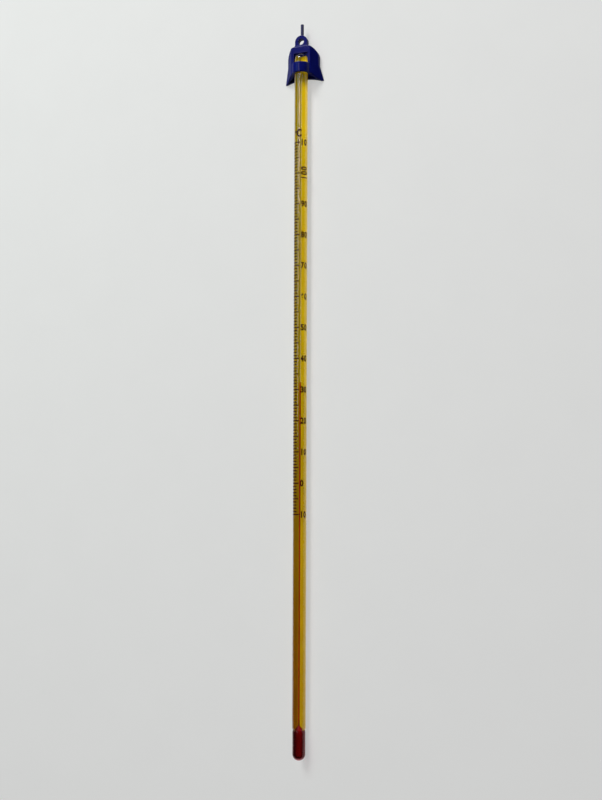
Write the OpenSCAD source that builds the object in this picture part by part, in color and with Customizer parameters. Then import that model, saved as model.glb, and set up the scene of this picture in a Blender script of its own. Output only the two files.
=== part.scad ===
// Laboratory thermometer: a red spirit column in a yellow-backed glass stem, lying on the
// flat back of its blue moulded anti-roll cap. The stem runs along Y with the bulb at -Y,
// +Z is up, and the origin is at the middle of the footprint on the resting plane.

/* [Stem] */
// Length of the glass from the tip of the bulb to the top of the dome
stem_length = 305; // [260:1:340]
// Diameter of the glass stem
stem_d = 5.8; // [5.6:0.1:6.4]
// Diameter of the capillary bore
bore_d = 0.4; // [0.36:0.02:0.7]
// Diameter of the expansion chamber at the top of the bore
chamber_d = 1.2; // [0.9:0.05:1.5]
// Length of the expansion chamber
chamber_length = 6; // [3:0.5:8]
// Glass above the expansion chamber, up to the top of the dome
chamber_cover = 4.5; // [3:0.5:8]

/* [Bulb] */
// Length of the blown bulb, up to where it is fused to the stem
bulb_length = 13; // [10:0.5:20]
// Diameter of the bulb
bulb_d = 5.6; // [5.4:0.1:6]
// Thickness of the bulb's glass wall
bulb_wall = 1.45; // [1.4:0.05:1.8]
// Thickness of the glass at the bulb's tip
bulb_tip_wall = 1.4; // [1:0.1:2]
// Length of the funnel in the stem's end that leads from the reservoir into the bore
funnel_length = 2.2; // [1.5:0.1:4]
// Diameter of the waist where bulb and stem are fused
waist_d = 5.2; // [5:0.1:5.3]
// Length of the waist on each side of the fused joint
waist_length = 0.8; // [0.4:0.1:1.5]

/* [Enamel back] */
// Depth of the enamel's fold behind the stem's axis
enamel_depth = 2; // [1.95:0.05:2.1]
// Half width of the folded enamel strip
enamel_half_w = 2.25; // [1.9:0.05:2.3]
// Rise of the strip's edges from its fold toward the scale side
enamel_rise = 1.6; // [1:0.1:1.6]
// Thickness of the enamel
enamel_t = 0.3; // [0.2:0.02:0.4]
// Clear glass between the top of the enamel and the top of the dome
enamel_cover = 1.45; // [1.4:0.05:4]

/* [Scale] */
// Temperature that the spirit shows
reading = 32.5; // [0:0.5:100]
// Lowest mark of the scale
scale_low = -10; // [-20:10:0]
// Highest mark of the scale
scale_high = 110; // [100:10:120]
// Distance of one degree along the stem
degree_pitch = 1.338; // [1:0.001:1.36]
// Distance from the tip of the bulb to the zero mark
zero_mark = 118.1; // [100:0.1:125]
// Turn of the scale about the stem, away from the cap's front
scale_turn = 20; // [0:1:30]
// Thickness of the printed ink on the glass
ink_t = 0.04; // [0.02:0.01:0.06]
// Width of a one degree line
minor_w = 0.38; // [0.3:0.02:0.5]
// Width of a five or ten degree line
major_w = 0.42; // [0.34:0.02:0.56]
// Where all lines start, in degrees round the stem from the bore
tick_start = -84; // [-90:1:-60]
// Where one degree lines end
minor_end = -28; // [-40:1:-20]
// Where five degree lines end
five_end = -13; // [-24:1:-8]
// Where ten degree lines end
ten_end = -9; // [-20:1:-5]

/* [Spirit] */
// Gap between the spirit and the glass around it
film = 0.03; // [0.02:0.01:0.05]
// Length of the moving end of the spirit column
meniscus_length = 14; // [12:0.5:20]
// Depth of the hollow in the end of the column
meniscus_dip = 0.12; // [0.06:0.02:0.2]

/* [Cap body] */
// Half width of the cap's front face
front_half_w = 4.7; // [4.4:0.1:5.2]
// Half width of the cap's flat back at the height of the window
back_half_w = 7.1; // [6.6:0.1:7.6]
// Half width of the cap's flat back at its two points
flare_half_w = 9; // [8:0.1:10]
// Height of the front face above the stem's axis
front_rise = 0.9; // [0.7:0.1:2]
// Height of the stem's axis above the resting plane
axis_height = 4.8; // [4.5:0.1:6]
// Distance from the top of the window to the top of the shoulders
shoulder_rise = 3.06; // [2.6:0.05:3.6]
// Radius of the shoulders
shoulder_r = 4.6; // [3:0.1:4.8]
// Distance from the top of the window to the bottom of the front face
front_drop = 9.3; // [9.2:0.05:10]
// Distance from the top of the window to the two points at the back
point_drop = 11.4; // [10.3:0.1:12]
// Rise of the arch between the two points
arch_rise = 1.4; // [1:0.1:2.6]
// Thickness of the cap's walls
cap_wall = 1.2; // [0.9:0.05:1.4]
// Radius along the front edges of the cap
edge_r = 0.7; // [0.3:0.1:1]

/* [Cap window and band] */
// Width of the front window
window_w = 6.2; // [6:0.05:7]
// Height of the front window
window_h = 4.9; // [4:0.1:4.9]
// Outer diameter of the band that holds the stem
band_d = 8.2; // [7.8:0.1:8.6]
// Height of the band along the stem
band_h = 4.25; // [3.2:0.05:4.3]
// Clearance between the band and the stem
cap_clearance = 0.05; // [0.03:0.01:0.1]
// Gap between the dome of the stem and the window's top edge
dome_gap = 0.1; // [0.1:0.05:0.8]

/* [Cap ring] */
// Outer diameter of the hanging ring
ring_d = 5.6; // [5:0.1:6]
// Diameter of the hole in the ring
ring_hole_d = 2.6; // [2:0.1:3]
// Thickness of the ring, front to back
ring_t = 2.4; // [1.8:0.1:2.7]
// Height of the ring's back face above the resting plane
ring_back = 2.95; // [2:0.05:3.2]
// Distance from the top of the window to the middle of the ring
ring_rise = 5.1; // [4.9:0.05:6]
// Radius of the hollow corners between ring and shoulders
neck_r = 0.8; // [0.4:0.1:1]
// Diameter of the moulding tail on top of the ring
tail_d = 1.4; // [1:0.1:2]
// Length of the moulding tail
tail_length = 5.3; // [3:0.1:8]
// Slope of the cut across the tail, in degrees
tail_cut = 35; // [0:5:45]

/* [Hidden] */

$fn = 64;
// Amount by which a cutter runs past the face that it cuts
past = 0.5;
// Amount by which fused forms of one moulding reach into each other
bite = 0.2;
// Degrees from one ten degree line to the next
ten_step = 10;
// Degrees from a ten degree line to the five degree line after it
five_step = ten_step / 2;

stem_r = stem_d / 2;
bore_r = bore_d / 2;
bulb_r = bulb_d / 2;
waist_r = waist_d / 2;
band_r = band_d / 2;
ring_r = ring_d / 2;
socket_r = stem_r + cap_clearance;

// Stations along the stem, from the tip of the bulb
dome_centre = stem_length - stem_r;
chamber_top = stem_length - chamber_cover;
enamel_top = stem_length - enamel_cover;
reading_mark = zero_mark + reading * degree_pitch;
thread_top = reading_mark - meniscus_length;
funnel_top = bulb_length + funnel_length;
reservoir_r = bulb_r - bulb_wall;

// Places along Y
ring_from_tip = stem_length + dome_gap + ring_rise;
overall_length = ring_from_tip + ring_r + tail_length;
tip_y = -overall_length / 2;
window_top_y = tip_y + stem_length + dome_gap;
band_bottom = window_h + band_h;

// Heights in the cap, measured from the stem's axis
back_z = -axis_height;
ring_back_z = back_z + ring_back;
// Lean of the cap's flanks, which spread from the front face to the back
flank_slope = atan((flare_half_w - front_half_w) / (axis_height + front_rise));

// Puts children drawn along Z from the bulb's tip onto the stem's axis
module on_stem() {
    translate([0, tip_y, axis_height])
        rotate([0, scale_turn, 0])
            rotate([-90, 0, 0])
                children();
}

// Puts children drawn about the window's top edge, with the stem's axis along Y, onto the cap
module on_cap() {
    translate([0, window_top_y, axis_height])
        children();
}

// Points of an arc in the plane, from one angle to another
function arc(centre, r, from, to, steps) =
    [for (i = [0:steps]) let (a = from + (to - from) * i / steps)
        [centre.x + r * cos(a), centre.y + r * sin(a)]];

// Section of the folded enamel strip, seen along the stem, grown by a margin
module enamel_section(margin) {
    half_t = enamel_t / 2 + margin;
    half_w = enamel_half_w + margin;
    slope = enamel_rise / enamel_half_w;
    tip_z = enamel_depth - half_w * slope;
    polygon([
        [0, enamel_depth - half_t],
        [half_w, tip_z - half_t],
        [half_w, tip_z + half_t],
        [0, enamel_depth + half_t],
        [-half_w, tip_z + half_t],
        [-half_w, tip_z - half_t]
    ]);
}

// Half section of the reservoir and of the funnel above it, shrunk by a margin
module reservoir_section(margin) {
    r = reservoir_r - margin;
    floor_z = bulb_tip_wall + margin;
    polygon(concat(
        [[0, floor_z]],
        arc([r - floor_r(r), floor_z + floor_r(r)], floor_r(r), -90, 0, 8),
        [[r, bulb_length], [bore_r - margin, funnel_top], [0, funnel_top]]
    ));
}
function floor_r(r) = r * 0.7;

// One printed line round the stem at a mark
module printed_line(mark, width, end_angle) {
    translate([0, 0, zero_mark + mark * degree_pitch - width / 2])
        rotate([0, 0, tick_start - 90])
            rotate_extrude(angle = end_angle - tick_start)
                translate([stem_r, 0])
                    square([ink_t, width]);
}

module stem_glass() {
    color([0.86, 0.9, 0.86, 0.4])
        on_stem()
            difference() {
                rotate_extrude()
                    polygon(concat(
                        [[0, bulb_length], [waist_r, bulb_length],
                         [stem_r, bulb_length + waist_length]],
                        arc([0, dome_centre], stem_r, 0, 90, 24)
                    ));
                rotate_extrude()
                    reservoir_section(0);
                translate([0, 0, funnel_top - past])
                    cylinder(h = chamber_top - chamber_length - funnel_top + 2 * past, r = bore_r);
                translate([0, 0, chamber_top - chamber_length])
                    cylinder(h = chamber_length, d = chamber_d);
                translate([0, 0, bulb_length - past])
                    linear_extrude(enamel_top - bulb_length + past)
                        enamel_section(film);
            }
}

module bulb_glass() {
    color([0.9, 0.78, 0.78, 0.4])
        on_stem()
            difference() {
                rotate_extrude()
                    polygon(concat(
                        arc([0, bulb_r], bulb_r, -90, 0, 24),
                        [[bulb_r, bulb_length - waist_length], [waist_r, bulb_length],
                         [0, bulb_length]]
                    ));
                rotate_extrude()
                    reservoir_section(0);
            }
}

module enamel_strip() {
    color([0.93, 0.76, 0.05])
        on_stem()
            translate([0, 0, bulb_length])
                linear_extrude(enamel_top - bulb_length - film)
                    enamel_section(0);
}

module bulb_spirit() {
    color([0.5, 0.02, 0.02])
        on_stem()
            rotate_extrude()
                reservoir_section(film);
}

module spirit_thread() {
    color([0.75, 0.03, 0.02])
        on_stem()
            translate([0, 0, funnel_top])
                cylinder(h = thread_top - funnel_top, r = bore_r - film);
}

module meniscus() {
    color([0.75, 0.03, 0.02])
        on_stem()
            difference() {
                translate([0, 0, thread_top])
                    cylinder(h = meniscus_length, r = bore_r - film);
                dish_r = (pow(bore_r, 2) + pow(meniscus_dip, 2)) / (2 * meniscus_dip);
                translate([0, 0, reading_mark - meniscus_dip + dish_r])
                    sphere(r = dish_r);
            }
}

module minor_ticks() {
    color([0.16, 0.08, 0.05])
        on_stem()
            for (mark = [scale_low:scale_high])
                if (mark % five_step != 0)
                    printed_line(mark, minor_w, minor_end);
}

module five_degree_ticks() {
    color([0.16, 0.08, 0.05])
        on_stem()
            for (mark = [scale_low + five_step:ten_step:scale_high])
                printed_line(mark, major_w, five_end);
}

module ten_degree_ticks() {
    color([0.16, 0.08, 0.05])
        on_stem()
            for (mark = [scale_low:ten_step:scale_high])
                printed_line(mark, major_w, ten_end);
}

// Cross section of the cap, seen along the stem, shrunk by a margin
module cap_section(margin) {
    front = front_rise - margin;
    front_w = front_half_w - margin;
    back = back_z + margin;
    back_w = flare_half_w - margin;
    polygon(concat(
        [[-back_w, back], [back_w, back]],
        arc([front_w - edge_r, front - edge_r], edge_r, flank_slope, 90, 6),
        arc([-front_w + edge_r, front - edge_r], edge_r, 90, 180 - flank_slope, 6)
    ));
}

// Outline of the cap seen from the front, shrunk by a margin, with its arched lower edge
module cap_outline(margin) {
    top = shoulder_rise - margin;
    half_w = back_half_w - margin;
    r = shoulder_r - margin;
    point_w = flare_half_w - margin;
    // the arch passes through the two points and rises between them
    chord = flare_half_w - cap_wall;
    arch_r = (pow(chord, 2) + pow(arch_rise, 2)) / (2 * arch_rise);
    arch_half_angle = asin(chord / arch_r);
    flare_start = -window_h;
    polygon(concat(
        arc([half_w - r, top - r], r, 0, 90, 12),
        arc([-half_w + r, top - r], r, 90, 180, 12),
        [[-half_w, flare_start], [-point_w, -point_drop]],
        arc([0, -point_drop + arch_rise - arch_r], arch_r,
            90 + arch_half_angle, 90 - arch_half_angle, 24),
        [[point_w, -point_drop], [half_w, flare_start]]
    ));
}

// Side profile of the cap, looking along X: the front face ends above the two points
module cap_profile() {
    polygon([
        [ring_rise, back_z],
        [-point_drop - past, back_z],
        [-point_drop - past, back_z + cap_wall / 2],
        [-front_drop, 0],
        [-front_drop, front_rise],
        [ring_rise, front_rise]
    ]);
}

// Solid form of the cap body, before it is hollowed
module cap_form() {
    intersection() {
        translate([0, ring_rise, 0])
            rotate([90, 0, 0])
                linear_extrude(ring_rise + point_drop + past)
                    cap_section(0);
        translate([0, 0, back_z - past])
            linear_extrude(axis_height + front_rise + 2 * past)
                cap_outline(0);
        translate([-flare_half_w - past, 0, 0])
            rotate([90, 0, 90])
                linear_extrude(2 * (flare_half_w + past))
                    cap_profile();
    }
}

// Space inside the cap's walls, open toward the bulb
module cap_hollow() {
    intersection() {
        translate([0, shoulder_rise - 2 * cap_wall, 0])
            rotate([90, 0, 0])
                linear_extrude(shoulder_rise + point_drop)
                    cap_section(cap_wall);
        translate([0, 0, back_z])
            linear_extrude(axis_height + front_rise)
                polygon([
                    [back_half_w - cap_wall, shoulder_rise],
                    [-back_half_w + cap_wall, shoulder_rise],
                    [-back_half_w + cap_wall, -window_h],
                    [-flare_half_w + cap_wall, -point_drop - past],
                    [flare_half_w - cap_wall, -point_drop - past],
                    [back_half_w - cap_wall, -window_h]
                ]);
    }
}

// Place in the cap that the domed end of the stem fills, running out past the band
module stem_socket() {
    dome_y = -dome_gap - stem_r;
    translate([0, -point_drop - past, 0])
        rotate([-90, 0, 0])
            rotate_extrude()
                polygon(concat(
                    [[0, 0], [socket_r, 0]],
                    arc([0, point_drop + past + dome_y], socket_r, 0, 90, 24)
                ));
}

// Hanging ring with its neck and tail
module hanging_ring() {
    translate([0, 0, ring_back_z])
        linear_extrude(ring_t)
            difference() {
                union() {
                    translate([0, ring_rise])
                        circle(r = ring_r);
                    translate([-ring_r - neck_r, shoulder_rise - bite])
                        square([2 * (ring_r + neck_r), neck_r + bite]);
                    translate([-ring_r, shoulder_rise - bite])
                        square([2 * ring_r, ring_rise - shoulder_rise + bite]);
                }
                for (side = [-1, 1])
                    translate([side * (ring_r + neck_r), shoulder_rise + neck_r])
                        circle(r = neck_r);
            }
    // the tail is flush with the ring's back
    translate([0, ring_rise + ring_r - bite, ring_back_z + tail_d / 2])
        rotate([-90, 0, 0])
            difference() {
                cylinder(h = tail_length + bite, d = tail_d);
                translate([tail_d / 2, 0, tail_length + bite])
                    rotate([0, tail_cut, 0])
                        translate([-2 * tail_d, -tail_d, 0])
                            cube([3 * tail_d, 2 * tail_d, tail_d]);
            }
}

module cap() {
    color([0.09, 0.14, 0.45])
        on_cap()
            difference() {
                union() {
                    difference() {
                        cap_form();
                        cap_hollow();
                        // the front face is open from the window down, between the two legs
                        translate([-window_w / 2, -point_drop, front_rise - cap_wall - past])
                            cube([window_w, point_drop, cap_wall + 2 * past]);
                    }
                    // tube that holds the stem: whole in the band, open in the window
                    intersection() {
                        translate([0, -band_bottom, 0])
                            rotate([-90, 0, 0])
                                cylinder(h = band_bottom + bite, r = band_r);
                        union() {
                            translate([-band_r, -band_bottom, -band_r])
                                cube([2 * band_r, band_h, 2 * band_r]);
                            translate([-band_r, -band_bottom, -band_r])
                                cube([2 * band_r, band_bottom + bite, band_r]);
                        }
                    }
                    hanging_ring();
                }
                stem_socket();
                translate([0, ring_rise, ring_back_z - past])
                    cylinder(h = ring_t + 2 * past, d = ring_hole_d);
            }
}

stem_glass();
bulb_glass();
enamel_strip();
bulb_spirit();
spirit_thread();
meniscus();
minor_ticks();
five_degree_ticks();
ten_degree_ticks();
cap();
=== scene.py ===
from math import cos, pi, radians, sin, sqrt

import bmesh
import bpy
from mathutils import Matrix, Vector


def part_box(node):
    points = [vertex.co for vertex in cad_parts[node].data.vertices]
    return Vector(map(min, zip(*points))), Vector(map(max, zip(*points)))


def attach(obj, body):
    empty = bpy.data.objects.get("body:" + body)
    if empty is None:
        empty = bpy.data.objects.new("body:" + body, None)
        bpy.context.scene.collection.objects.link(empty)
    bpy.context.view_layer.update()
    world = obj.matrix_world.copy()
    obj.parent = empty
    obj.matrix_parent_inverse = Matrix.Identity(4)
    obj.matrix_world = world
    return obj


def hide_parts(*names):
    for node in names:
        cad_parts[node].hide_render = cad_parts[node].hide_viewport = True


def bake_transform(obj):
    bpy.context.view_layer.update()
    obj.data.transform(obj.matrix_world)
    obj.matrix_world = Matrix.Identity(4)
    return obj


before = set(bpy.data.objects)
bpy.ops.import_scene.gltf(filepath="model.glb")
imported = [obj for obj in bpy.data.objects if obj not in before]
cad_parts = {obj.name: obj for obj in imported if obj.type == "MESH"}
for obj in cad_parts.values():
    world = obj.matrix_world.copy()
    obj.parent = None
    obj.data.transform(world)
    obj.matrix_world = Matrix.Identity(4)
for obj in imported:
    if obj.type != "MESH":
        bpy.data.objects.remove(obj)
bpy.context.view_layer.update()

MM = 0.001

# The photograph's frame, the camera that fits the scale's marks, and the column where the stem stands
PHOTO_W = 602
PHOTO_H = 800
SENSOR = 36.0
FOCAL_PX = 1061.2
CENTRE_ROW = 462.5
CAMERA_DISTANCE = 456 * MM
CAMERA_FROM_TIP = 112.3 * MM
CAMERA_TILT = radians(1.85)
CAMERA_ROLL = radians(0.205)
STEM_COLUMN = 299.85
CLIP_NEAR = 10 * MM
CLIP_FAR = 20

# Driving sizes of the glass and the scale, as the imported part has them
STEM_R = 2.9 * MM
BULB_R = 2.8 * MM
WAIST_R = 2.6 * MM
WAIST_LENGTH = 0.8 * MM
RESERVOIR_R = 1.35 * MM
TIP_WALL = 1.4 * MM
FUNNEL_LENGTH = 2.2 * MM
BORE_R = 0.2 * MM
CHAMBER_R = 0.6 * MM
CHAMBER_LENGTH = 6 * MM
CHAMBER_COVER = 4.5 * MM
SCALE_TURN = radians(20)
DEGREE_PITCH = 1.338 * MM
ZERO_MARK = 118.1 * MM
TAIL_LENGTH = 5.3 * MM

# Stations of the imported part, in the row frame
BULB_LOW, BULB_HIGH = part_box("bulb_glass")
STEM_LOW, STEM_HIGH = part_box("stem_glass")
COLUMN_LOW, COLUMN_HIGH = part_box("meniscus")
CAP_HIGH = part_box("cap")[1]
TIP_Y = BULB_LOW.y
JOINT_Y = BULB_HIGH.y
DOME_Y = STEM_HIGH.y
AXIS_Z = (STEM_LOW.z + STEM_HIGH.z) / 2
AXIS_X = (STEM_LOW.x + STEM_HIGH.x) / 2
ZERO_Y = TIP_Y + ZERO_MARK
# Where the moulding tail leaves the ring
TAIL_Y = CAP_HIGH.y - TAIL_LENGTH

# Sizes that only the scene has. The spirit lies just inside the glass, so that no air shows between them.
THREAD_R = BORE_R + 0.012 * MM
# The bulb's fill is wider than the reservoir, for the red that the photograph shows
FILL_R = RESERVOIR_R + 0.4 * MM
FILL_ROUND = 0.7 * FILL_R
# How far below the fused joint the fill starts to narrow, and how hollow its funnel is
SHOULDER_DROP = 0.4 * MM
FUNNEL_POWER = 1.25
MENISCUS_DIP = 0.12 * MM
# The bore starts a little inside the funnel, and tapers into the expansion chamber
BORE_OVERLAP = 0.3 * MM
CHAMBER_TAPER = 0.8 * MM
# Distance between the faces of the fused joint
JOINT_GAP = 0.004 * MM
FLAT_TOLERANCE = 0.001 * MM

# Steps round and along the turned forms
GLASS_ROUND = 96
FILL_ROUND_STEPS = 64
THREAD_ROUND = 32
ROD_STEPS = 60
BULB_STEPS = 8
DOME_STEPS = 24
CHAMBER_STEPS = 8
FILL_CORNER_STEPS = 12
FILL_STEPS = 6
FUNNEL_STEPS = 12
THREAD_STEPS = 80
COLUMN_STEPS = 12
MENISCUS_STEPS = 8


# Small helpers for node trees
def new_material(name):
    mat = bpy.data.materials.new(name)
    mat.use_nodes = True
    tree = mat.node_tree
    return mat, tree, tree.nodes["Principled BSDF"]


def add_node(tree, kind, **values):
    node = tree.nodes.new(kind)
    for key, value in values.items():
        setattr(node, key, value)
    return node


def set_inputs(node, values):
    for name, value in values.items():
        node.inputs[name].default_value = value


def show_surface(tree, output):
    tree.links.new(output, tree.nodes["Material Output"].inputs["Surface"])


def object_coordinates(tree, scale=(1, 1, 1)):
    coords = add_node(tree, "ShaderNodeTexCoord")
    mapping = add_node(tree, "ShaderNodeMapping")
    mapping.inputs["Scale"].default_value = scale
    tree.links.new(coords.outputs["Object"], mapping.inputs["Vector"])
    return mapping.outputs["Vector"]


def split(tree, vector):
    """The X, Y and Z of a vector."""
    node = add_node(tree, "ShaderNodeSeparateXYZ")
    tree.links.new(vector, node.inputs["Vector"])
    return node.outputs


def noise(tree, vector, scale, detail=3.0):
    node = add_node(tree, "ShaderNodeTexNoise")
    set_inputs(node, {"Scale": scale, "Detail": detail, "Roughness": 0.55})
    tree.links.new(vector, node.inputs["Vector"])
    return node.outputs["Fac"]


def ramp(tree, factor, stops):
    """Colours a factor; the stops are two pairs of a place and an RGB colour."""
    node = add_node(tree, "ShaderNodeValToRGB")
    for element, (place, colour) in zip(node.color_ramp.elements, stops):
        element.position = place
        element.color = (*colour, 1)
    tree.links.new(factor, node.inputs["Fac"])
    return node.outputs["Color"]


def map_range(tree, value, source, target):
    node = add_node(tree, "ShaderNodeMapRange")
    set_inputs(node, {"From Min": source[0], "From Max": source[1], "To Min": target[0], "To Max": target[1]})
    tree.links.new(value, node.inputs["Value"])
    return node.outputs["Result"]


def join_values(tree, operation, first, second):
    node = add_node(tree, "ShaderNodeMath", operation=operation)
    tree.links.new(first, node.inputs[0])
    tree.links.new(second, node.inputs[1])
    return node.outputs["Value"]


def blend_colours(tree, factor, first, second):
    node = add_node(tree, "ShaderNodeMix", data_type="RGBA")
    shown = [socket for socket in node.inputs if socket.enabled]
    for socket, value in zip(shown, (factor, first, second)):
        tree.links.new(value, socket)
    return next(socket for socket in node.outputs if socket.enabled)


def blend_shaders(tree, factor, first, second):
    node = add_node(tree, "ShaderNodeMixShader")
    for socket, value in zip(node.inputs, (factor, first, second)):
        tree.links.new(value, socket)
    return node.outputs["Shader"]


def bump(tree, height, strength, distance):
    node = add_node(tree, "ShaderNodeBump")
    set_inputs(node, {"Strength": strength, "Distance": distance})
    tree.links.new(height, node.inputs["Height"])
    return node.outputs["Normal"]


def let_lamps_through(tree, shader, share=1.0):
    """Lets a share of the lamps' light reach what is embedded in the glass."""
    clear = add_node(tree, "ShaderNodeBsdfTransparent")
    clear.inputs["Color"].default_value = (share, share, share, 1)
    path = add_node(tree, "ShaderNodeLightPath")
    show_surface(tree, blend_shaders(tree, path.outputs["Is Shadow Ray"], shader.outputs["BSDF"],
                                     clear.outputs["BSDF"]))


# Materials
GLASS_IOR = 1.47
# The stem's glass and the fired ink share one gloss, in which the lamps draw fine lines
STEM_GLOSS = 0.5
GLOSS_ROUGHNESS = 0.1
STEM_TINT = (0.98, 1.0, 0.97)
# The bulb's glass is tinted by the spirit, and its edge toward the lamps is painted a lighter tint, as painted
# light
BULB_TINT = (0.36, 0.06, 0.08)
BULB_LIT_EDGE_TINT = (0.60, 0.36, 0.42)
BULB_EDGE = (-0.8 * BULB_R, -0.45 * BULB_R)
# Where one leaf of the enamel's fold passes into the other, across the stem
FOLD = (-0.9 * MM, -0.4 * MM)
# Where the bulb's painted dark side passes into its painted light one, across the stem
BULB_SHADE = (-0.8 * MM, 1.6 * MM)
# Where the cap's blue passes into the paler tail
TAIL_FADE = (TAIL_Y - 0.3 * MM, TAIL_Y + 0.8 * MM)
# Shares of the lamps' light that the thread and the ink let through
THREAD_SHARE = 0.7
INK_SHARE = 0.8
BUMP_DEPTH = 0.1 * MM


def clear_glass(name, tint, gloss, lit_edge_tint=None):
    """Clear glass; a lit edge tint paints the side toward the lamps lighter, as painted light."""
    mat, tree, shader = new_material(name)
    set_inputs(shader, {"Base Color": (*tint, 1), "Transmission Weight": 1, "IOR": GLASS_IOR,
                        "Coat Weight": gloss, "Coat Roughness": GLOSS_ROUGHNESS})
    if lit_edge_tint:
        # painted light: the edge toward the lamps takes a lighter tint
        across = map_range(tree, split(tree, object_coordinates(tree))["X"], BULB_EDGE, (0.0, 1.0))
        tree.links.new(ramp(tree, across, [(0.0, lit_edge_tint), (1.0, tint)]), shader.inputs["Base Color"])
    smear = noise(tree, object_coordinates(tree, (1, 0.08, 1)), scale=500)
    tree.links.new(map_range(tree, smear, (0.35, 0.8), (0.0, 0.05)), shader.inputs["Roughness"])
    let_lamps_through(tree, shader)
    return mat


def fused_joint():
    """Where two pieces of the same glass are fused, light passes straight on."""
    mat, tree, shader = new_material("fused_joint")
    clear = add_node(tree, "ShaderNodeBsdfTransparent")
    show_surface(tree, clear.outputs["BSDF"])
    tree.nodes.remove(shader)
    return mat


def yellow_enamel():
    mat, tree, shader = new_material("yellow_enamel")
    place = split(tree, object_coordinates(tree))
    streak = noise(tree, object_coordinates(tree, (1, 0.03, 1)), scale=1500, detail=4)
    yellow = ramp(tree, streak, [(0.25, (0.50, 0.320, 0.001)), (0.75, (0.57, 0.385, 0.002))])
    # painted light: the leaf of the fold that looks away from the lamps is painted lighter and greener
    painted_light_green = ramp(tree, streak, [(0.25, (0.55, 0.400, 0.001)), (0.75, (0.62, 0.470, 0.002))])
    side = map_range(tree, place["X"], FOLD, (1.0, 0.0))
    colour = blend_colours(tree, side, yellow, painted_light_green)
    # painted shade: toward the bulb the enamel is painted darker and redder, standing for light reddened by the
    # spirit, and the same leaf takes more of it
    painted_red_shade = ramp(tree, streak, [(0.25, (0.47, 0.150, 0.001)), (0.75, (0.53, 0.18, 0.001))])
    share = join_values(tree, "MULTIPLY", map_range(tree, place["Y"], (JOINT_Y, 0.0), (1.0, 0.0)),
                        map_range(tree, place["X"], FOLD, (0.9, 0.2)))
    tree.links.new(blend_colours(tree, share, colour, painted_red_shade), shader.inputs["Base Color"])
    set_inputs(shader, {"Roughness": 0.7, "Specular IOR Level": 0.0})
    tree.links.new(bump(tree, streak, 0.15, BUMP_DEPTH), shader.inputs["Normal"])
    return mat


def red_spirit():
    mat, tree, shader = new_material("red_spirit")
    depth = noise(tree, object_coordinates(tree, (1, 0.05, 1)), scale=900)
    colour = ramp(tree, depth, [(0.2, (0.30, 0.014, 0.002)), (0.8, (0.40, 0.022, 0.003))])
    tree.links.new(colour, shader.inputs["Base Color"])
    set_inputs(shader, {"Roughness": 0.3, "Specular IOR Level": 0.05})
    let_lamps_through(tree, shader, THREAD_SHARE)
    return mat


def bulb_red():
    mat, tree, shader = new_material("bulb_red")
    vector = object_coordinates(tree)
    depth = noise(tree, vector, scale=400)
    dark = ramp(tree, depth, [(0.2, (0.050, 0.0008, 0.002)), (0.8, (0.075, 0.001, 0.003))])
    # painted light and shade: the side toward the lamps is painted dark red and the side away from them a
    # lighter red, where light gathers through the spirit
    light = ramp(tree, depth, [(0.2, (0.40, 0.004, 0.008)), (0.8, (0.50, 0.007, 0.012))])
    share = map_range(tree, split(tree, vector)["X"], BULB_SHADE, (0.0, 1.0))
    tree.links.new(blend_colours(tree, share, dark, light), shader.inputs["Base Color"])
    set_inputs(shader, {"Roughness": 0.25, "Specular IOR Level": 0.05})
    return mat


def scale_ink():
    mat, tree, shader = new_material("scale_ink")
    grain = noise(tree, object_coordinates(tree), scale=2500, detail=4)
    colour = ramp(tree, grain, [(0.3, (0.040, 0.001, 0.001)), (0.8, (0.070, 0.004, 0.002))])
    tree.links.new(colour, shader.inputs["Base Color"])
    tree.links.new(map_range(tree, grain, (0.2, 0.8), (0.5, 0.75)), shader.inputs["Roughness"])
    set_inputs(shader, {"Specular IOR Level": 0.1, "Coat Weight": STEM_GLOSS, "Coat Roughness": GLOSS_ROUGHNESS})
    let_lamps_through(tree, shader, INK_SHARE)
    return mat


def blue_plastic():
    mat, tree, shader = new_material("blue_plastic")
    vector = object_coordinates(tree)
    cloud = noise(tree, vector, scale=260)
    blue = ramp(tree, cloud, [(0.25, (0.004, 0.006, 0.13)), (0.8, (0.006, 0.011, 0.19))])
    # the thin tail is paler, from where it leaves the ring
    pale = ramp(tree, cloud, [(0.25, (0.07, 0.07, 0.13)), (0.8, (0.11, 0.11, 0.19))])
    share = map_range(tree, split(tree, vector)["Y"], TAIL_FADE, (0.0, 0.8))
    tree.links.new(blend_colours(tree, share, blue, pale), shader.inputs["Base Color"])
    grain = noise(tree, vector, scale=2600, detail=4)
    tree.links.new(map_range(tree, grain, (0.25, 0.8), (0.12, 0.24)), shader.inputs["Roughness"])
    set_inputs(shader, {"Specular IOR Level": 0.0, "Coat Weight": 0.25, "Coat Roughness": 0.15})
    tree.links.new(bump(tree, grain, 0.04, BUMP_DEPTH), shader.inputs["Normal"])
    return mat


# Meshes
def mesh_object(name, verts, faces, mat, smooth=True):
    mesh = bpy.data.meshes.new(name)
    mesh.from_pydata([tuple(v) for v in verts], [], faces)
    mesh.validate()
    mesh.update()
    for polygon in mesh.polygons:
        polygon.use_smooth = smooth
    obj = bpy.data.objects.new(name, mesh)
    bpy.context.scene.collection.objects.link(obj)
    mesh.materials.append(mat)
    return obj


def evaluated_mesh(obj):
    """A new mesh of an object as its curve or modifiers make it."""
    bpy.context.view_layer.update()
    return bpy.data.meshes.new_from_object(obj.evaluated_get(bpy.context.evaluated_depsgraph_get()))


def arc(centre, radius, start, end, steps):
    return [(centre[0] + radius * cos(radians(start + (end - start) * i / steps)),
             centre[1] + radius * sin(radians(start + (end - start) * i / steps)))
            for i in range(steps + 1)]


def long_steps(low, high, count):
    return [low + (high - low) * i / count for i in range(count + 1)]


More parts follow.
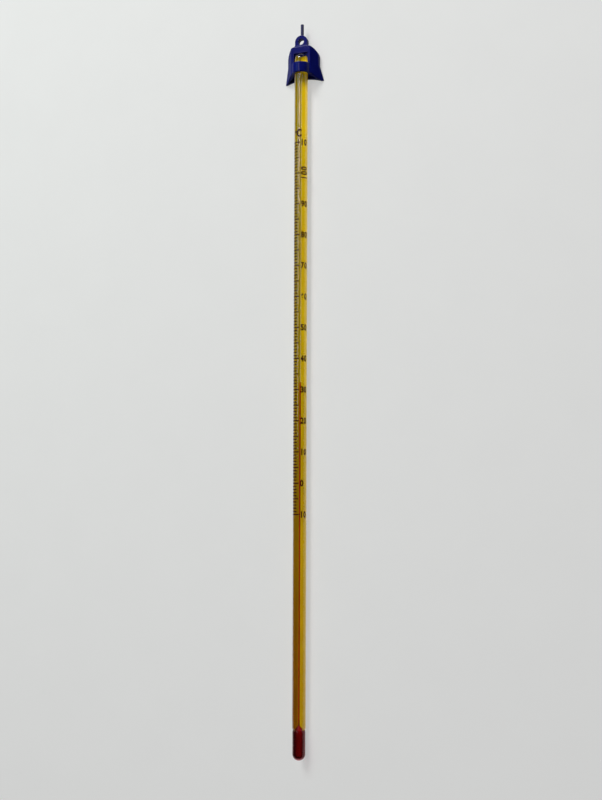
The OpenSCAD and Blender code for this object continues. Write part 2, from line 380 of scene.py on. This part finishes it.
def lathe(profiles, steps):
    """Closed surfaces of revolution about the stem's axis. A profile is a list of (radius, y) from one
    pole to the other, and its first and last points lie on the axis. The order sets which way the faces
    look."""
    verts, faces = [], []
    for profile in profiles:
        first = len(verts)
        verts.append(Vector((AXIS_X, profile[0][1], AXIS_Z)))
        for radius, y in profile[1:-1]:
            for k in range(steps):
                a = 2 * pi * k / steps
                verts.append(Vector((AXIS_X + radius * sin(a), y, AXIS_Z + radius * cos(a))))
        last = len(verts)
        verts.append(Vector((AXIS_X, profile[-1][1], AXIS_Z)))
        rings = len(profile) - 2
        for k in range(steps):
            n = (k + 1) % steps
            faces.append((first, first + 1 + n, first + 1 + k))
            for r in range(rings - 1):
                a0 = first + 1 + r * steps
                b0 = a0 + steps
                faces.append((a0 + k, a0 + n, b0 + n, b0 + k))
            e0 = first + 1 + (rings - 1) * steps
            faces.append((e0 + k, e0 + n, last))
    return verts, faces


def clear_joint(obj, joint_mat, y):
    """Gives the faces of a piece that lie in the fused joint the joint's own material."""
    obj.data.materials.append(joint_mat)
    for polygon in obj.data.polygons:
        if all(abs(obj.data.vertices[i].co.y - y) < FLAT_TOLERANCE for i in polygon.vertices):
            polygon.material_index = 1
            polygon.use_smooth = False


def stem_glass_piece(mat, joint_mat):
    """Drawn glass rod with its domed end, and the bore and expansion chamber inside it."""
    dome = DOME_Y - STEM_R
    outer = [(0, JOINT_Y), (WAIST_R, JOINT_Y)]
    outer += [(STEM_R, y) for y in long_steps(JOINT_Y + WAIST_LENGTH, dome, ROD_STEPS)]
    outer += arc((0, dome), STEM_R, 0, 90, DOME_STEPS)[1:-1]
    outer += [(0, DOME_Y)]
    top = DOME_Y - CHAMBER_COVER
    chamber = top - CHAMBER_LENGTH
    foot = JOINT_Y + FUNNEL_LENGTH - BORE_OVERLAP
    bore = [(0, foot)]
    bore += [(BORE_R, y) for y in long_steps(foot, chamber - CHAMBER_TAPER, ROD_STEPS)]
    bore += [(CHAMBER_R, chamber), (CHAMBER_R, top - CHAMBER_R)]
    bore += arc((0, top - CHAMBER_R), CHAMBER_R, 0, 90, CHAMBER_STEPS)[1:-1]
    bore += [(0, top)]
    verts, faces = lathe([outer, bore[::-1]], GLASS_ROUND)
    obj = mesh_object("stem_glass_drawn", verts, faces, mat)
    clear_joint(obj, joint_mat, JOINT_Y)
    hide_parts("stem_glass")
    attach(obj, "thermometer")


def bulb_glass_piece(mat, joint_mat):
    """Blown bulb with its round tip and the waist where it is fused on."""
    joint = JOINT_Y - JOINT_GAP
    outer = [(0, TIP_Y)]
    outer += arc((0, TIP_Y + BULB_R), BULB_R, -90, 0, DOME_STEPS)[1:]
    outer += [(BULB_R, y) for y in long_steps(TIP_Y + BULB_R, JOINT_Y - WAIST_LENGTH, BULB_STEPS)[1:]]
    outer += [(WAIST_R, joint), (0, joint)]
    verts, faces = lathe([outer], GLASS_ROUND)
    obj = mesh_object("bulb_glass_blown", verts, faces, mat)
    clear_joint(obj, joint_mat, joint)
    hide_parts("bulb_glass")
    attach(obj, "thermometer")


def bulb_spirit_piece(mat):
    """Dyed spirit in the reservoir, and in the funnel that leads up to the bore."""
    bottom = TIP_Y + TIP_WALL
    shoulder = JOINT_Y - SHOULDER_DROP
    top = JOINT_Y + FUNNEL_LENGTH
    profile = [(0, bottom)]
    profile += arc((FILL_R - FILL_ROUND, bottom + FILL_ROUND), FILL_ROUND, -90, 0, FILL_CORNER_STEPS)
    profile += [(FILL_R, y) for y in long_steps(bottom + FILL_ROUND, shoulder, FILL_STEPS)[1:]]
    # the shoulder rounds into the funnel, which is slightly hollow
    for i in range(1, FUNNEL_STEPS + 1):
        t = i / FUNNEL_STEPS
        radius = THREAD_R + (FILL_R - THREAD_R) * (1 - t) ** FUNNEL_POWER
        profile.append((radius, shoulder + (top - shoulder) * t))
    profile += [(0, top)]
    verts, faces = lathe([profile], FILL_ROUND_STEPS)
    obj = mesh_object("bulb_spirit_fill", verts, faces, mat)
    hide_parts("bulb_spirit")
    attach(obj, "thermometer")


def spirit_thread_piece(mat):
    """Thread of spirit in the bore, stretched between the bulb and the moving end of the column."""
    low = JOINT_Y + FUNNEL_LENGTH
    high = COLUMN_LOW.y
    profile = [(0, low)] + [(THREAD_R, y) for y in long_steps(low, high, THREAD_STEPS)] + [(0, high)]
    verts, faces = lathe([profile], THREAD_ROUND)
    obj = mesh_object("spirit_thread_fill", verts, faces, mat)
    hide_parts("spirit_thread")
    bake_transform(obj)


def meniscus_piece(mat):
    """Moving end of the spirit column, hollow at its top."""
    dish = (THREAD_R ** 2 + MENISCUS_DIP ** 2) / (2 * MENISCUS_DIP)
    low, high = COLUMN_LOW.y, COLUMN_HIGH.y
    profile = [(0, low)] + [(THREAD_R, y) for y in long_steps(low, high, COLUMN_STEPS)]
    for i in range(1, MENISCUS_STEPS):
        r = THREAD_R * (1 - i / MENISCUS_STEPS)
        profile.append((r, high - MENISCUS_DIP + dish - sqrt(dish ** 2 - r ** 2)))
    profile.append((0, high - MENISCUS_DIP))
    verts, faces = lathe([profile], THREAD_ROUND)
    obj = mesh_object("meniscus_fill", verts, faces, mat)
    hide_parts("meniscus")
    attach(obj, "column_end")


# The printed scale. Angles are in degrees round the stem from the bore.
INK_LOW = 0.002 * MM
INK_HIGH = 0.03 * MM
# The lines: their marks, widths, reach round the stem, and the softening of their ends
SCALE_LOW = -10
SCALE_HIGH = 110
FIVE_STEP = 5
TEN_STEP = 10
MINOR_W = 0.47 * MM
MAJOR_W = 0.5 * MM
LINE_START = -84
MINOR_END = -28
FIVE_END = -13
TEN_END = -9
LINE_STEPS = 12
LINE_END_SHARE = 0.6
# The numbers: their digits stand side by side round the stem
DIGIT_HEIGHT = 2.8 * MM
DIGIT_WIDTH = 1.42 * MM
NARROW_DIGIT = 0.5 * MM
FIRST_DIGIT = 16.5
DIGIT_STEP = 31
# The highest number starts this many digit steps back, and a digit so far back is fainter than the others
HIGH_PLACE = -1.2
FAINT_BEFORE = -0.5
FAINT_DIGIT = 0.3 * MM
# The sign of the lowest number
SIGN_ANGLE = -6
SIGN_HEIGHT = 0.38 * MM
SIGN_WIDTH = 1.1 * MM
# The hundred stands sideways, with its digits one after the other along the stem
HUNDRED_ANGLE = 30
HUNDRED_HEIGHT = 3.05 * MM
HUNDRED_WIDTH = 1.75 * MM
HUNDRED_STEP = 2.0 * MM
# The unit, above the highest mark
UNIT_RISE = 4.4 * MM
UNIT_C_ANGLE = -17
UNIT_C_SHIFT = -0.3 * MM
UNIT_C_HEIGHT = 3.5 * MM
UNIT_C_WIDTH = 2.3 * MM
UNIT_DEGREE_ANGLE = -50
UNIT_DEGREE_SHIFT = 0.3 * MM
UNIT_DEGREE_SIZE = 1.0 * MM
# The font's outline, in shares of its size: how far its strokes are widened, which points are one, and
# the longest edge that isn't cut in two to follow the stem
STROKE_SPREAD = 0.045
WELD_DISTANCE = 1e-5
LONGEST_EDGE = 0.12
FONT_STEPS = 6


def scale_point(angle, y, radius):
    """A point on the stem: angle in radians round it, from the line over the bore toward +X."""
    a = angle + SCALE_TURN
    return Vector((AXIS_X + radius * sin(a), y, AXIS_Z + radius * cos(a)))


def text_mesh(text):
    """The flat outline of some text as a mesh, in the XY plane."""
    curve = bpy.data.curves.new("text", "FONT")
    curve.body = text
    curve.resolution_u = FONT_STEPS
    curve.offset = STROKE_SPREAD
    holder = bpy.data.objects.new("text", curve)
    bpy.context.scene.collection.objects.link(holder)
    mesh = evaluated_mesh(holder)
    bpy.data.objects.remove(holder)
    bpy.data.curves.remove(curve)
    return mesh


def printed_text(name, text, angle, y, height, width, mat, upright=True):
    """Text printed round the stem, centred at an angle and a station, as a thin closed layer of ink."""
    mesh = text_mesh(text)
    bm = bmesh.new()
    bm.from_mesh(mesh)
    bpy.data.meshes.remove(mesh)
    bmesh.ops.remove_doubles(bm, verts=bm.verts, dist=WELD_DISTANCE)
    xs = [v.co.x for v in bm.verts]
    ys = [v.co.y for v in bm.verts]
    sx = width / (max(xs) - min(xs))
    sy = height / (max(ys) - min(ys))
    mid_x = (max(xs) + min(xs)) / 2
    mid_y = (max(ys) + min(ys)) / 2
    bmesh.ops.triangulate(bm, faces=bm.faces)
    long_edges = [e for e in bm.edges if e.calc_length() > LONGEST_EDGE]
    bmesh.ops.subdivide_edges(bm, edges=long_edges, cuts=1)
    bmesh.ops.triangulate(bm, faces=bm.faces)
    flat = [((v.co.x - mid_x) * sx, (v.co.y - mid_y) * sy) for v in bm.verts]
    bm.verts.index_update()
    tops = [[v.index for v in f.verts] for f in bm.faces]
    edges = [[v.index for v in e.verts] for e in bm.edges if e.is_boundary]
    windings = {pair for face in tops for pair in zip(face, face[1:] + face[:1])}
    bm.free()
    verts, faces = [], []
    for layer in (INK_HIGH, INK_LOW):
        for px, py in flat:
            if not upright:
                px, py = -py, px
            verts.append(scale_point(angle + px / STEM_R, y + py, STEM_R + layer))
    n = len(flat)
    for face in tops:
        faces.append(tuple(face))
        faces.append(tuple(i + n for i in reversed(face)))
    for a, b in edges:
        if (a, b) not in windings:
            a, b = b, a
        faces.append((b, a, a + n, b + n))
    obj = mesh_object(name, verts, faces, mat, smooth=False)
    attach(obj, "thermometer")


def printed_lines(node, marks, width, end_angle, mat):
    """The scale's lines at some marks, printed round the stem as thin closed layers with softened ends."""
    verts, faces = [], []
    for mark in marks:
        middle = ZERO_Y + mark * DEGREE_PITCH
        first = len(verts)
        for i, angle in enumerate(long_steps(radians(LINE_START), radians(end_angle), LINE_STEPS)):
            half = width / 2 * (LINE_END_SHARE if i in (0, LINE_STEPS) else 1)
            low, high = middle - half, middle + half
            for y, layer in ((low, INK_LOW), (high, INK_LOW), (high, INK_HIGH), (low, INK_HIGH)):
                verts.append(scale_point(angle, y, STEM_R + layer))
        for i in range(LINE_STEPS):
            for k in range(4):
                a, b = first + 4 * i + k, first + 4 * i + (k + 1) % 4
                faces.append((a, b, b + 4, a + 4))
        last = first + 4 * LINE_STEPS
        faces.append((first + 3, first + 2, first + 1, first))
        faces.append((last, last + 1, last + 2, last + 3))
    obj = mesh_object(node + "_printed", verts, faces, mat, smooth=False)
    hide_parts(node)
    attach(obj, "thermometer")


def scale_lines(mat):
    marks = range(SCALE_LOW, SCALE_HIGH + 1)
    tens = [m for m in marks if m % TEN_STEP == 0]
    fives = [m for m in marks if m % TEN_STEP == FIVE_STEP]
    printed_lines("minor_ticks", [m for m in marks if m % FIVE_STEP], MINOR_W, MINOR_END, mat)
    printed_lines("five_degree_ticks", fives, MAJOR_W, FIVE_END, mat)
    printed_lines("ten_degree_ticks", tens, MAJOR_W, TEN_END, mat)


def digit_width(digit, wide):
    return NARROW_DIGIT if digit == "1" else wide


def printed_number(name, text, first_place, mark, mat):
    """Digits side by side round the stem, at a mark; places count digit steps from beside the bore."""
    for i, digit in enumerate(text):
        place = first_place + i
        width = FAINT_DIGIT if place < FAINT_BEFORE else digit_width(digit, DIGIT_WIDTH)
        printed_text(name + "_" + str(i), digit, radians(FIRST_DIGIT + DIGIT_STEP * place),
                     ZERO_Y + mark * DEGREE_PITCH, DIGIT_HEIGHT, width, mat)


def scale_numbers(mat):
    for mark in range(0, 91, TEN_STEP):
        printed_number("number_" + str(mark), str(mark), 0, mark, mat)
    printed_number("number_minus_10", "10", 0, SCALE_LOW, mat)
    printed_text("number_minus_10_sign", "-", radians(SIGN_ANGLE), ZERO_Y + SCALE_LOW * DEGREE_PITCH,
                 SIGN_HEIGHT, SIGN_WIDTH, mat)
    for i, digit in enumerate("100"):
        printed_text("number_100_" + str(i), digit, radians(HUNDRED_ANGLE),
                     ZERO_Y + 100 * DEGREE_PITCH + (i - 1) * HUNDRED_STEP,
                     HUNDRED_HEIGHT, digit_width(digit, HUNDRED_WIDTH), mat, upright=False)
    printed_number("number_110", "110", HIGH_PLACE, SCALE_HIGH, mat)
    unit_y = ZERO_Y + SCALE_HIGH * DEGREE_PITCH + UNIT_RISE
    printed_text("unit_c", "C", radians(UNIT_C_ANGLE), unit_y + UNIT_C_SHIFT,
                 UNIT_C_HEIGHT, UNIT_C_WIDTH, mat)
    printed_text("unit_degree", "o", radians(UNIT_DEGREE_ANGLE), unit_y + UNIT_DEGREE_SHIFT,
                 UNIT_DEGREE_SIZE, UNIT_DEGREE_SIZE, mat)


# The cap
CAP_VOXEL = 0.13 * MM
SOFTEN_SHARE = 0.5
SOFTEN_ROUNDS = 4


def moulded_cap(mat):
    """The cap as it comes out of the mould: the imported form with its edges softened."""
    obj = bpy.data.objects.new("cap_moulded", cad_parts["cap"].data.copy())
    bpy.context.scene.collection.objects.link(obj)
    remesh = obj.modifiers.new("remesh", "REMESH")
    remesh.mode = "VOXEL"
    remesh.voxel_size = CAP_VOXEL
    remesh.use_smooth_shade = True
    soften = obj.modifiers.new("soften", "SMOOTH")
    soften.factor = SOFTEN_SHARE
    soften.iterations = SOFTEN_ROUNDS
    mesh = evaluated_mesh(obj)
    obj.modifiers.clear()
    obj.data = mesh
    mesh.name = "cap_moulded"
    mesh.materials.clear()
    mesh.materials.append(mat)
    for polygon in mesh.polygons:
        polygon.use_smooth = True
    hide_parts("cap")
    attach(obj, "cap")


def dress(node, mat):
    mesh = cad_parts[node].data
    mesh.materials.clear()
    mesh.materials.append(mat)


# The stage
FLOOR_SIZE = 3.0
FLOOR_LEVEL = 0.93
FLOOR_SHARE = 0.5
WORLD_COLOUR = (0.95, 0.97, 1.0, 1)
WORLD_STRENGTH = 0.03


def show_pale(tree, shader, level, share):
    """Mixes an even pale tone into what the camera, reflections and glass see of a surface."""
    pale = add_node(tree, "ShaderNodeEmission")
    pale.inputs["Color"].default_value = (level, level, level, 1)
    path = add_node(tree, "ShaderNodeLightPath")
    seen = path.outputs["Is Camera Ray"]
    for other in ("Is Glossy Ray", "Is Transmission Ray"):
        seen = join_values(tree, "MAXIMUM", seen, path.outputs[other])
    part = add_node(tree, "ShaderNodeMath", operation="MULTIPLY")
    part.inputs[1].default_value = share
    tree.links.new(seen, part.inputs[0])
    show_surface(tree, blend_shaders(tree, part.outputs["Value"], shader.outputs["BSDF"],
                                     pale.outputs["Emission"]))


def floor():
    mat, tree, shader = new_material("floor")
    shader.inputs["Roughness"].default_value = 0.9
    grain = noise(tree, object_coordinates(tree), scale=40)
    colour = ramp(tree, grain, [(0.3, (0.80, 0.80, 0.80)), (0.7, (0.83, 0.83, 0.83))])
    tree.links.new(colour, shader.inputs["Base Color"])
    show_pale(tree, shader, FLOOR_LEVEL, FLOOR_SHARE)
    half = FLOOR_SIZE / 2
    verts = [(-half, -half, 0), (half, -half, 0), (half, half, 0), (-half, half, 0)]
    mesh_object("floor", verts, [(0, 1, 2, 3)], mat, smooth=False)


def round_stem(angle, distance, y):
    """A point beside the stem, at an angle in degrees from straight up toward +X."""
    return Vector((distance * sin(radians(angle)), y, distance * cos(radians(angle))))


def lamp_object(name, size, power, colour):
    data = bpy.data.lights.new(name, "AREA")
    data.size = size
    data.energy = power
    data.color = colour
    lamp = bpy.data.objects.new(name, data)
    bpy.context.scene.collection.objects.link(lamp)
    return lamp


def long_lamp(name, near, far, width, power, colour, shape="RECTANGLE"):
    """A lamp long along the stem and narrow round it, between two points above the stem, facing it."""
    lamp = lamp_object(name, width, power, colour)
    lamp.data.shape = shape
    lamp.data.size_y = (far - near).length
    middle = (near + far) / 2
    along = (far - near).normalized()
    back = Vector((middle.x, 0, middle.z))
    back = (back - along * back.dot(along)).normalized()
    turn = Matrix((along.cross(back), along, back)).transposed().to_4x4()
    lamp.matrix_world = Matrix.Translation(middle) @ turn


def far_lamp(name, place, size, power, colour):
    """A lamp that faces the origin."""
    lamp = lamp_object(name, size, power, colour)
    lamp.location = place
    lamp.rotation_euler = (-place).to_track_quat("-Z", "Y").to_euler()


def lights():
    """A dim window low on the left and a ceiling lamp above it, whose mirrored images draw the fine lines
    along the stem, and a lamp beyond the cap's end, too far along to be mirrored. The ceiling lamp is in
    two lengths, because its line fades and wanders toward the bulb."""
    long_lamp("window", near=round_stem(-38, 0.60, 0.07), far=round_stem(-40, 0.60, 0.45),
              width=0.26, power=0.42, colour=(0.50, 1.0, 0.86), shape="ELLIPSE")
    long_lamp("ceiling", near=round_stem(-14.0, 0.70, 0.27), far=round_stem(-11.5, 0.70, 0.42),
              width=0.13, power=0.56, colour=(1.0, 0.90, 0.86))
    long_lamp("ceiling_end", near=round_stem(-26.5, 0.70, 0.02), far=round_stem(-14.5, 0.70, 0.27),
              width=0.13, power=0.30, colour=(1.0, 0.92, 0.84))
    far_lamp("far", round_stem(-20, 0.75, 0.80), size=0.35, power=7.0, colour=(1.0, 1.0, 0.98))
    world = bpy.data.worlds.new("studio")
    bpy.context.scene.world = world
    world.use_nodes = True
    set_inputs(world.node_tree.nodes["Background"], {"Color": WORLD_COLOUR, "Strength": WORLD_STRENGTH})


def camera():
    """A camera over the line of the bore, fitted to the places of the scale's marks in the photograph."""
    scene = bpy.context.scene
    data = bpy.data.cameras.new("camera")
    data.sensor_width = SENSOR
    data.sensor_fit = "AUTO"
    data.lens = FOCAL_PX * SENSOR / PHOTO_H
    data.shift_y = (CENTRE_ROW - PHOTO_H / 2) / PHOTO_H
    data.clip_start = CLIP_NEAR
    data.clip_end = CLIP_FAR
    obj = bpy.data.objects.new("camera", data)
    scene.collection.objects.link(obj)
    look = Vector((sin(SCALE_TURN), 0, cos(SCALE_TURN)))
    right = Vector((cos(SCALE_TURN), 0, -sin(SCALE_TURN)))
    up = Vector((0, 1, 0))
    foot = Vector((AXIS_X, TIP_Y + CAMERA_FROM_TIP, AXIS_Z))
    column_offset = (PHOTO_W / 2 - STEM_COLUMN) / FOCAL_PX * CAMERA_DISTANCE
    place = foot + look * CAMERA_DISTANCE + right * column_offset
    back = look * cos(CAMERA_TILT) - up * sin(CAMERA_TILT)
    top = up * cos(CAMERA_TILT) + look * sin(CAMERA_TILT)
    turn = Matrix((right, top, back)).transposed().to_4x4()
    obj.matrix_world = Matrix.Translation(place) @ turn @ Matrix.Rotation(CAMERA_ROLL, 4, "Z")
    scene.camera = obj
    scene.view_settings.view_transform = "Standard"


def build():
    glass = clear_glass("stem_clear_glass", STEM_TINT, STEM_GLOSS)
    bulb = clear_glass("bulb_clear_glass", BULB_TINT, 0.0, BULB_LIT_EDGE_TINT)
    joint = fused_joint()
    enamel = yellow_enamel()
    spirit = red_spirit()
    deep_spirit = bulb_red()
    ink = scale_ink()
    plastic = blue_plastic()
    stem_glass_piece(glass, joint)
    bulb_glass_piece(bulb, joint)
    bulb_spirit_piece(deep_spirit)
    spirit_thread_piece(spirit)
    meniscus_piece(spirit)
    dress("enamel_strip", enamel)
    scale_lines(ink)
    scale_numbers(ink)
    moulded_cap(plastic)
    floor()
    lights()
    camera()


build()
